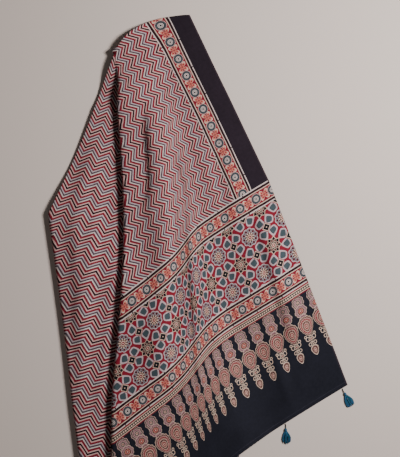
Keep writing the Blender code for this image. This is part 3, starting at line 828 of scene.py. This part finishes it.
def finger_pattern(tree: bpy.types.NodeTree, dyes: Dyes, place: bpy.types.Node,
                   x: bpy.types.NodeSocket, y: bpy.types.NodeSocket) -> bpy.types.Node:
    """A row of hanging buds 36 mm apart and 127 mm tall on black."""
    cell = add(tree, MATH, x, 18 * MM, -18 * MM, operation="WRAP")
    side = add(tree, MATH, cell, operation="ABSOLUTE")
    ground = linear(dyes.plain_black)

    # Open curls to both sides of the stalk, drawn in thin cream lines on the black.
    for curl_x, curl_y, radius in ((7.2, 38.0, 4.2), (5.8, 26.0, 3.2), (10.5, 44.0, 2.4)):
        away = add(tree, COMBINE, side, y, 0.0)
        away = add(tree, VECTOR_MATH, away, (curl_x * MM, curl_y * MM, 0.0), operation="SUBTRACT")
        away = add(tree, VECTOR_MATH, away, operation="LENGTH")
        curl = add(tree, MATH, away, radius * MM, 0.7 * MM, operation="COMPARE")
        ground = add(tree, MIX, curl, ground, linear(dyes.cream), data_type="RGBA")

    filigree = add(tree, VORONOI, place, 330.0, feature="DISTANCE_TO_EDGE",
                   voronoi_dimensions="2D")
    filigree = add(tree, MATH, filigree.outputs["Distance"], 0.07, operation="LESS_THAN")
    filigree = add(tree, MATH, filigree, 0.5, operation="MULTIPLY")
    for motif in FINGER:
        above = add(tree, MATH, y, motif.height, operation="SUBTRACT")
        narrow = add(tree, MATH, above, motif.taper / motif.half_height, 1.0,
                     operation="MULTIPLY_ADD")
        narrow = add(tree, MATH, narrow, 0.35, operation="MAXIMUM")
        across = add(tree, MATH, cell, narrow, operation="DIVIDE")
        above = add(tree, MATH, above, motif.half_width / motif.half_height,
                    operation="MULTIPLY")
        middle = add(tree, COMBINE, across, above, 0.0)
        rings = tuple((stop, getattr(dyes, name)) for stop, name in motif.rings)
        colour, mask = rosette(tree, middle, motif.petals, motif.depth, motif.half_width, rings)
        colour = add(tree, MIX, filigree, colour, linear(dyes.cream), data_type="RGBA")
        ground = add(tree, MIX, mask, ground, colour, data_type="RGBA")
    return ground


PATTERNS = {
    Print.PLAIN: plain_pattern,
    Print.FIELD: zigzag_pattern,
    Print.BAND: band_pattern,
    Print.STARS: star_pattern,
    Print.BEADS: bead_pattern,
    Print.FINGERS: finger_pattern,
}


@dataclass
class PrintLayout:
    """Where each printed part lies on the flat cloth, the same from both hems."""

    width: float = 1.06
    length: float = 2.30
    finger_tips: float = 0.088
    bead_start: float = 0.215
    second_band_start: float = 0.230
    panel_start: float = 0.272
    upper_band_start: float = 0.412
    field_start: float = 0.454
    border_start: float = 0.040
    border_end: float = 0.081
    rosette_row: float = 0.372

    def rows(self) -> tuple[float, ...]:
        """Lines across the cloth where one part ends and the next starts."""
        near = (self.finger_tips, self.bead_start, self.second_band_start, self.panel_start,
                self.upper_band_start, self.field_start)
        return near + tuple(self.length - row for row in near)

    def columns(self) -> tuple[float, ...]:
        """Lines along the cloth where the side borders start and end."""
        near = (self.border_start, self.border_end)
        return near + tuple(self.width - column for column in near)

    def part_at(self, u: float, v: float) -> tuple[Print, tuple[float, float, float, float]]:
        """Which part a face belongs to and how its print lies.

        Args:
            u, v: The face's middle on the flat cloth.

        Returns:
            The part, then how far its own x and y start along, and their directions: x is
            u or v times a sign less an offset.
        """
        far = v > self.length / 2
        row = self.length - v if far else v
        if row >= self.field_start:
            side = min(u, self.width - u)
            if side < self.border_start:
                return Print.PLAIN, (0.0, 0.0, 0, far)
            if side < self.border_end:
                middle = (self.border_start + self.border_end) / 2
                middle = middle if u < self.width / 2 else self.width - middle
                return Print.BAND, (0.0, middle, 1, far)
            return Print.FIELD, (0.0, 0.0, 0, False)
        for start, end, part, zero in (
            (self.upper_band_start, self.field_start, Print.BAND,
             (self.upper_band_start + self.field_start) / 2),
            (self.panel_start, self.upper_band_start, Print.STARS, self.rosette_row),
            (self.second_band_start, self.panel_start, Print.BAND,
             (self.second_band_start + self.panel_start) / 2),
            (self.bead_start, self.second_band_start, Print.BEADS, self.bead_start),
            (self.finger_tips, self.bead_start, Print.FINGERS, self.finger_tips),
        ):
            if start <= row < end:
                return part, (0.0, zero, 0, far)
        return Print.PLAIN, (0.0, 0.0, 0, far)

    def print_place(self, u: float, v: float, how: tuple) -> tuple[float, float]:
        """The place within the part's own print of one corner of a face."""
        zero_x, zero_y, turned, far = how
        if turned:
            return v - zero_x, u - zero_y
        return u - zero_x, (self.length - v if far else v) - zero_y


# --------------------------------------------------------------------------------------------
# The cloth as a mesh
# --------------------------------------------------------------------------------------------

@dataclass
class Dupatta:
    """The whole cloth: one sheet, cut along its folds and print lines, then laid."""

    folds: Folds = field(default_factory=Folds)
    layout: PrintLayout = field(default_factory=PrintLayout)
    cotton: PrintedCotton = field(default_factory=PrintedCotton)
    snap: float = 2e-5
    halvings: int = 26
    bend_steps: int = 8
    bow_steps: int = 8
    coarse_pitch: float = 0.200
    finest: float = 0.0085
    crease_finest: float = 0.0052
    hidden_finest: float = 0.060

    def score(self, mesh: bmesh.types.BMesh, stage: Stage, point: tuple[float, float],
              angle: float, offsets: np.ndarray) -> None:
        """Cut the flat sheet where it will cross lines in plan.

        Args:
            mesh: The flat sheet.
            stage: Gives each flat place's plan place at that stage of the folding.
            point: A point of the line that offsets count from.
            angle: The line's direction, from down the page.
            offsets: How far each line lies to the right of it.
        """
        def beyond(places: np.ndarray, offset: float) -> np.ndarray:
            """Distance of each place past the line."""
            x, y = stage(places[:, 0], places[:, 1])
            return from_line(x, y, point, angle)[1] - offset

        for offset in offsets:
            mesh.verts.index_update()
            places = np.array([vert.co[:2] for vert in mesh.verts])
            side = beyond(places, offset)
            side[np.abs(side) < self.snap] = 0.0
            edges = [edge for edge in mesh.edges
                     if side[edge.verts[0].index] * side[edge.verts[1].index] < 0.0]
            on_line = [vert for vert in mesh.verts if side[vert.index] == 0.0]
            if edges:
                start = places[[edge.verts[0].index for edge in edges]]
                step = places[[edge.verts[1].index for edge in edges]] - start
                low = np.zeros((len(edges), 1))
                high = np.ones((len(edges), 1))
                sign = np.sign(beyond(start, offset))
                for _ in range(self.halvings):
                    middle = (low + high) / 2
                    same = (np.sign(beyond(start + step * middle, offset)) == sign)[:, None]
                    low = np.where(same, middle, low)
                    high = np.where(same, high, middle)
                for edge, share in zip(edges, low[:, 0]):
                    on_line.append(bmesh.utils.edge_split(edge, edge.verts[0], float(share))[1])
            bmesh.ops.connect_verts(mesh, verts=on_line, check_degenerate=True)

    def divided(self) -> bmesh.types.BMesh:
        """The flat sheet cut along its folds and print lines."""
        folds = self.folds
        mesh = bmesh.new()
        corners = ((0.0, 0.0), (folds.width, 0.0), (folds.width, folds.length),
                   (0.0, folds.length))
        mesh.faces.new([mesh.verts.new((u, v, 0.0)) for u, v in corners])
        origin = (0.0, 0.0)
        across = -PI / 2
        shares = np.linspace(0.0, 1.0, self.bend_steps + 1)
        self.score(mesh, folds.unfolded_stage, origin, 0.0, self.layout.columns())
        self.score(mesh, folds.unfolded_stage, origin, across, self.layout.rows())
        bowed = np.linspace(0.0, folds.bow_width, self.bow_steps + 1)[1:]
        self.score(mesh, folds.unfolded_stage, origin, 0.0, bowed)
        more = np.arange(folds.bow_width + self.coarse_pitch, folds.width, self.coarse_pitch)
        self.score(mesh, folds.unfolded_stage, origin, 0.0, more)
        self.score(mesh, folds.flat_stage, origin, across,
                   folds.ridge + PI * folds.ridge_radius * shares)
        self.score(mesh, folds.flat_stage, origin, across,
                   folds.inner_fold + PI * folds.inner_radius * shares)
        bend = PI * folds.pleat_radius * (shares - 0.5)
        self.score(mesh, folds.plan_stage, folds.pleat_at, folds.pleat_edge, bend)
        self.score(mesh, folds.plan_stage, folds.pleat_at, folds.pleat_edge + folds.pleat_turn,
                   bend)
        self.score(mesh, folds.pleat_stage, folds.tuck_at, folds.tuck_axis,
                   -PI * folds.pleat_radius * shares)
        return mesh

    def refine(self, mesh: bmesh.types.BMesh) -> None:
        """Halve long edges until the open layer is fine and the hidden ones are even."""
        bmesh.ops.triangulate(mesh, faces=mesh.faces[:])
        for finest, hidden in ((0.048, 0.096), (0.024, 0.060), (0.012, 0.060),
                               (self.finest, self.hidden_finest)):
            for _ in range(4):
                mesh.verts.index_update()
                places = np.array([vert.co[:2] for vert in mesh.verts])
                openly = places[:, 1] - self.folds.bow(places[:, 0]) < self.folds.ridge + 0.008
                pairs = np.array([(edge.verts[0].index, edge.verts[1].index)
                                  for edge in mesh.edges])
                span = np.hypot(*(places[pairs[:, 0]] - places[pairs[:, 1]]).T)
                limit = np.where(openly[pairs[:, 0]] & openly[pairs[:, 1]], finest, hidden)
                if finest == self.finest:
                    creased = self.folds.creased(places[:, 0], places[:, 1]) & openly
                    limit = np.where(creased[pairs[:, 0]] & creased[pairs[:, 1]],
                                     self.crease_finest, limit)
                long = np.nonzero(span > limit * 1.5)[0]
                if not len(long):
                    break
                edges = list(mesh.edges)
                bmesh.ops.subdivide_edges(mesh, edges=[edges[k] for k in long], cuts=1)
                bmesh.ops.triangulate(mesh, faces=mesh.faces[:])

    def build(self, shift: Vector) -> bpy.types.Object:
        """Make the cloth.

        Args:
            shift: From the drawing plane's own origin to the frame's.

        Returns:
            The cloth's object.
        """
        folds = self.folds
        mesh = self.divided()
        self.refine(mesh)
        bmesh.ops.dissolve_degenerate(mesh, dist=1e-6, edges=mesh.edges)
        bmesh.ops.triangulate(mesh, faces=mesh.faces[:])
        mesh.verts.index_update()
        count = len(mesh.verts)
        places = np.array([vert.co[:2] for vert in mesh.verts])
        faces = [[vert.index for vert in face.verts] for face in mesh.faces]
        upper = folds.lay(places[:, 0], places[:, 1], folds.thickness / 2)
        lower = folds.lay(places[:, 0], places[:, 1], -folds.thickness / 2)
        solid = [face[::-1] for face in faces]
        solid += [[index + count for index in face] for face in faces]
        rim = []
        for edge in mesh.edges:
            if edge.is_boundary:
                first = edge.link_loops[0].vert.index
                second = edge.other_vert(edge.link_loops[0].vert).index
                rim.append([first, second, second + count, first + count])
        mesh.free()
        data = bpy.data.meshes.new("dupatta")
        points = np.concatenate((upper, lower)) + np.array(shift)
        data.from_pydata(points.tolist(), [], solid + rim)
        flat = np.concatenate((places, places))
        layer = data.uv_layers.new(name="cloth")
        parts = list(Print)
        for part in parts:
            data.materials.append(self.cotton.material(part))
        for polygon in data.polygons:
            corners = flat[list(polygon.vertices)]
            middle = corners.mean(axis=0)
            part, how = self.layout.part_at(*middle)
            polygon.material_index = parts.index(part)
            for loop, corner in zip(polygon.loop_indices, corners):
                layer.data[loop].uv = self.layout.print_place(*corner, how)
        data.polygons.foreach_set("use_smooth", [True] * len(data.polygons))
        data.set_sharp_from_angle(angle=math.radians(70))
        cloth = bpy.data.objects.new("dupatta", data)
        bpy.context.scene.collection.objects.link(cloth)
        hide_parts("cloth")
        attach(cloth, "root")
        log.info("dupatta: %d triangles", sum(len(p.vertices) - 2 for p in data.polygons))
        return cloth


# --------------------------------------------------------------------------------------------
# Tassels
# --------------------------------------------------------------------------------------------

@dataclass(frozen=True)
class TasselYarn:
    """Soft twisted cotton yarn, dyed teal to blue, matt with a slight fuzz."""

    teal: str = "1C5460"
    blue: str = "2A5078"
    thread_black: str = "16161B"
    roughness: float = 0.85
    sheen: float = 0.12

    def material(self, name: str, first: str, second: str) -> bpy.types.Material:
        """Make one yarn's material.

        Args:
            name: The material's name.
            first: The dye of one half of its mottling.
            second: The dye of the other half.

        Returns:
            The material.
        """
        material = bpy.data.materials.new(name)
        material.use_nodes = True
        tree = material.node_tree
        shader = tree.nodes["Principled BSDF"]
        place = add(tree, "ShaderNodeTexCoord")
        mottled = add(tree, NOISE, place.outputs["Object"], 420.0, 2.0, 0.5)
        colour = fill_ramp(add(tree, RAMP, mottled), ((0.36, first), (0.62, second)), True)
        tree.links.new(colour.outputs[0], shader.inputs["Base Color"])
        bump = add(tree, BUMP, 0.5, 0.2 * MM, None, mottled)
        tree.links.new(bump.outputs[0], shader.inputs["Normal"])
        shader.inputs["Roughness"].default_value = self.roughness
        shader.inputs["Sheen Weight"].default_value = self.sheen
        shader.inputs["Specular IOR Level"].default_value = 0.2
        shader.inputs["IOR"].default_value = 1.5
        return material


@dataclass
class Tassel:
    """A black thread from the hem, a small wound head and a cut skirt, lying flat."""

    hem_gap: float = 0.0011
    thread_length: float = 0.010
    thread_radius: float = 0.0008
    head_length: float = 0.007
    head_radius: float = 0.0029
    winds: int = 5
    skirt_length: float = 0.028
    skirt_half_width: float = 0.0092
    strand_radius: float = 0.00055
    strands: int = 62
    yarn: TasselYarn = field(default_factory=TasselYarn)

    def tube(self, mesh: bmesh.types.BMesh, points: list[Vector], radii: list[float],
             sides: int) -> None:
        """Add a tube through these points, closed at both ends.

        Args:
            mesh: The mesh to add to.
            points: Its middle line.
            radii: Its radius at each point.
            sides: How many sides it has.
        """
        rings = []
        for k, (point, radius) in enumerate(zip(points, radii)):
            ahead = points[min(k + 1, len(points) - 1)] - points[max(k - 1, 0)]
            across = ahead.cross(Vector((0, 0, 1))).normalized()
            up = across.cross(ahead).normalized()
            rings.append([mesh.verts.new(point + radius * (math.cos(a) * across
                                                           + math.sin(a) * up))
                          for a in np.linspace(0, 2 * PI, sides, endpoint=False)])
        for first, second in zip(rings, rings[1:]):
            for k in range(sides):
                after = (k + 1) % sides
                mesh.faces.new((first[k], first[after], second[after], second[k]))
        mesh.faces.new(reversed(rings[0]))
        mesh.faces.new(rings[-1])

    def thread(self, mesh: bmesh.types.BMesh, rng: random.Random) -> None:
        """Add the thread that ties the tassel to the hem, with its knot on the head.

        Args:
            mesh: The mesh to add to.
            rng: Source of small differences.
        """
        start = Vector((self.hem_gap, 0.0, self.thread_radius))
        tie = Vector((self.thread_length + 0.002, 0.0, self.head_radius))
        bend = rng.uniform(-0.0008, 0.0008)
        line = []
        for t in np.linspace(0.0, 1.0, 9):
            point = start.lerp(tie, float(t))
            point.y += bend * math.sin(PI * t)
            line.append(point)
        self.tube(mesh, line, [self.thread_radius] * len(line), 8)
        for turn in range(3):
            around = []
            for angle in np.linspace(0.0, 2 * PI, 17):
                reach = 0.62 * self.head_radius
                around.append(Vector((
                    self.thread_length + 0.0012 + 0.0008 * (turn + angle / (2 * PI)),
                    reach * math.cos(angle), self.head_radius + reach * math.sin(angle))))
            self.tube(mesh, around, [0.0005] * len(around), 6)

    def head(self, mesh: bmesh.types.BMesh) -> None:
        """Add the head: yarn wound round the roots of the skirt.

        Args:
            mesh: The mesh to add to.
        """
        steps = self.winds * 6
        points, radii = [], []
        for k in range(steps + 1):
            t = k / steps
            profile = math.sin(PI * (0.12 + 0.76 * t)) ** 0.7
            ridge = 0.06 * math.cos(2 * PI * self.winds * t)
            points.append(Vector((self.thread_length + self.head_length * t, 0.0,
                                  self.head_radius)))
            radii.append(self.head_radius * max(profile * (0.92 + ridge), 0.2))
        self.tube(mesh, points, radii, 16)

    def skirt(self, mesh: bmesh.types.BMesh, rng: random.Random) -> None:
        """Add the cut yarns, which part a little into two lobes.

        Args:
            mesh: The mesh to add to.
            rng: Source of small differences.
        """
        root_x = self.thread_length + self.head_length - 0.002
        for _ in range(self.strands):
            across = rng.uniform(-1, 1)
            across += 0.16 * math.sin(PI * across)
            across = max(-1.0, min(1.0, across))
            layer = rng.uniform(0, 1) * (1 - 0.45 * abs(across))
            root = Vector((root_x, 0.0018 * across, self.head_radius + 0.0014 * (layer - 0.5)))
            length = self.skirt_length * rng.uniform(0.88, 1.0) * (1 - 0.14 * across * across)
            rest = self.strand_radius + 0.0042 * layer
            wave = rng.uniform(-0.0005, 0.0005)
            line = []
            for t in np.linspace(0.0, 1.0, 8):
                full = math.sin(PI * min(t * 0.62, 0.5)) ** 1.15
                spread = self.skirt_half_width * 0.92 * across * full
                drop = float(smooth(np.array(t * 2.2)))
                line.append(Vector((root.x + length * t,
                                    root.y * (1 - t) + spread + wave * math.sin(2 * PI * t),
                                    root.z + (rest - root.z) * drop)))
            self.tube(mesh, line, [self.strand_radius] * 7 + [self.strand_radius * 0.6], 5)

    def build(self, number: int, matrix: Matrix,
              materials: list[bpy.types.Material]) -> bpy.types.Object:
        """Make one tassel.

        Args:
            number: Which tassel, counted from the neck side.
            matrix: Its place: its own +X leads away from the hem.
            materials: The dyed yarn and the black thread.

        Returns:
            The tassel's object.
        """
        rng = random.Random(number)
        mesh = bmesh.new()
        self.head(mesh)
        self.skirt(mesh, rng)
        dyed = len(mesh.faces)
        self.thread(mesh, rng)
        mesh.faces.ensure_lookup_table()
        for face in mesh.faces[dyed:]:
            face.material_index = 1
        bmesh.ops.recalc_face_normals(mesh, faces=mesh.faces[:])
        mesh.transform(matrix)
        data = bpy.data.meshes.new(f"tassel_yarn_{number}")
        mesh.to_mesh(data)
        mesh.free()
        data.polygons.foreach_set("use_smooth", [True] * len(data.polygons))
        data.set_sharp_from_angle(angle=math.radians(60))
        for material in materials:
            data.materials.append(material)
        tassel = bpy.data.objects.new(f"tassel_yarn_{number}", data)
        bpy.context.scene.collection.objects.link(tassel)
        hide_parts(f"tassel_{number}")
        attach(tassel, "root")
        return tassel


@dataclass
class TasselRow:
    """The tassels along the hem, evenly spaced."""

    folds: Folds = field(default_factory=Folds)
    tassel: Tassel = field(default_factory=Tassel)
    first: float = 0.013
    # How far each one has swung from straight out, in degrees.
    leans: tuple[float, ...] = (6.0, -18.0, 12.0, -9.0, 7.0, -12.0, 10.0, -8.0)

    def build(self, shift: Vector) -> list[bpy.types.Object]:
        """Make every tassel where its node lies.

        Args:
            shift: From the drawing plane's own origin to the frame's.

        Returns:
            The tassels' objects.
        """
        yarn = self.tassel.yarn
        materials = [yarn.material("twisted_cotton_yarn", yarn.teal, yarn.blue),
                     yarn.material("black_cotton_thread", yarn.thread_black, yarn.thread_black)]
        places = np.linspace(self.first, self.folds.width - self.first, len(self.leans))
        row = []
        for number, (u, lean) in enumerate(zip(places, self.leans), start=1):
            hem, back = (self.folds.lay(np.array([u]), np.array([v]), 0.0)[0] for v in (0.0, 0.01))
            heading = math.atan2(hem[1] - back[1], hem[0] - back[0]) + math.radians(lean)
            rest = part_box(f"tassel_{number}")[0][2]
            where = Vector((hem[0] + shift.x, hem[1] + shift.y, rest))
            matrix = Matrix.Translation(where) @ Matrix.Rotation(heading, 4, "Z")
            row.append(self.tassel.build(number, matrix, materials))
        log.info("tassels: %d", len(row))
        return row


# --------------------------------------------------------------------------------------------
# Floor, light and camera
# --------------------------------------------------------------------------------------------

@dataclass
class Studio:
    """A pale floor, soft light and a camera straight above the cloth."""

    floor_size: float = 8.0
    floor_colour: str = "D8C8BE"
    floor_roughness: float = 0.9
    # The floor is a little below the cloth, so that the two faces don't share a plane.
    floor_height: float = -0.0005
    lens: float = 85.0
    sensor: float = 36.0
    seen_height: float = 0.937
    focus_height: float = 0.025
    key_place: tuple[float, float, float] = (1.05, 0.45, 1.35)
    key_size: float = 0.4
    key_power: float = 44.0
    fill_place: tuple[float, float, float] = (-0.8, -0.6, 2.4)
    fill_size: float = 2.0
    fill_power: float = 2.5
    sky_colour: str = "F4F2F0"
    sky_strength: float = 0.055

    def build(self, shift: Vector) -> None:
        """Make the floor, the lights and the camera.

        Args:
            shift: From the drawing plane's own origin, the picture's middle, to the frame's.
        """
        mesh = bmesh.new()
        bmesh.ops.create_grid(mesh, x_segments=1, y_segments=1, size=self.floor_size / 2)
        data = bpy.data.meshes.new("floor")
        mesh.to_mesh(data)
        mesh.free()
        floor = bpy.data.objects.new("floor", data)
        floor.location.z = self.floor_height
        bpy.context.scene.collection.objects.link(floor)
        paint = bpy.data.materials.new("matt_floor_paint")
        paint.use_nodes = True
        shader = paint.node_tree.nodes["Principled BSDF"]
        shader.inputs["Base Color"].default_value = linear(self.floor_colour)
        shader.inputs["Roughness"].default_value = self.floor_roughness
        data.materials.append(paint)
        middle = Vector((shift.x, shift.y, 0.0))
        for name, place, size, power in (
            ("key", self.key_place, self.key_size, self.key_power),
            ("fill", self.fill_place, self.fill_size, self.fill_power),
        ):
            light = bpy.data.lights.new(name, "AREA")
            light.size = size
            light.energy = power
            lamp = bpy.data.objects.new(name, light)
            lamp.location = middle + Vector(place)
            lamp.rotation_euler = (-Vector(place)).to_track_quat("-Z", "Y").to_euler()
            bpy.context.scene.collection.objects.link(lamp)
        world = bpy.data.worlds.new("soft room")
        world.use_nodes = True
        sky = world.node_tree.nodes["Background"]
        sky.inputs["Color"].default_value = linear(self.sky_colour)
        sky.inputs["Strength"].default_value = self.sky_strength
        bpy.context.scene.world = world
        lens = bpy.data.cameras.new("camera")
        lens.sensor_fit = "VERTICAL"
        lens.sensor_height = self.sensor
        lens.lens = self.lens
        camera = bpy.data.objects.new("camera", lens)
        distance = self.lens / self.sensor * self.seen_height
        camera.location = middle + Vector((0.0, 0.0, self.focus_height + distance))
        bpy.context.scene.collection.objects.link(camera)
        bpy.context.scene.camera = camera


def main() -> None:
    """Build the cloth, its tassels and the studio."""
    logging.basicConfig(level=logging.INFO, format="%(name)s: %(message)s")
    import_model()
    dupatta = Dupatta()
    # The sheet is laid on a fine grid first, to find how far the frame lies from the drawing.
    low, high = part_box("cloth")
    rim = np.linspace(0.0, 1.0, 241)
    folds = dupatta.folds
    grid_u, grid_v = np.meshgrid(rim * folds.width, rim * folds.length)
    raw = folds.lay(grid_u.ravel(), grid_v.ravel(), -folds.thickness / 2)
    middle = (raw.min(axis=0) + raw.max(axis=0)) / 2
    shift = Vector(((low[0] + high[0]) / 2 - middle[0], (low[1] + high[1]) / 2 - middle[1],
                    low[2] - raw[:, 2].min()))
    dupatta.build(shift)
    TasselRow().build(shift)
    Studio().build(shift)


if __name__ == "__main__":
    main()
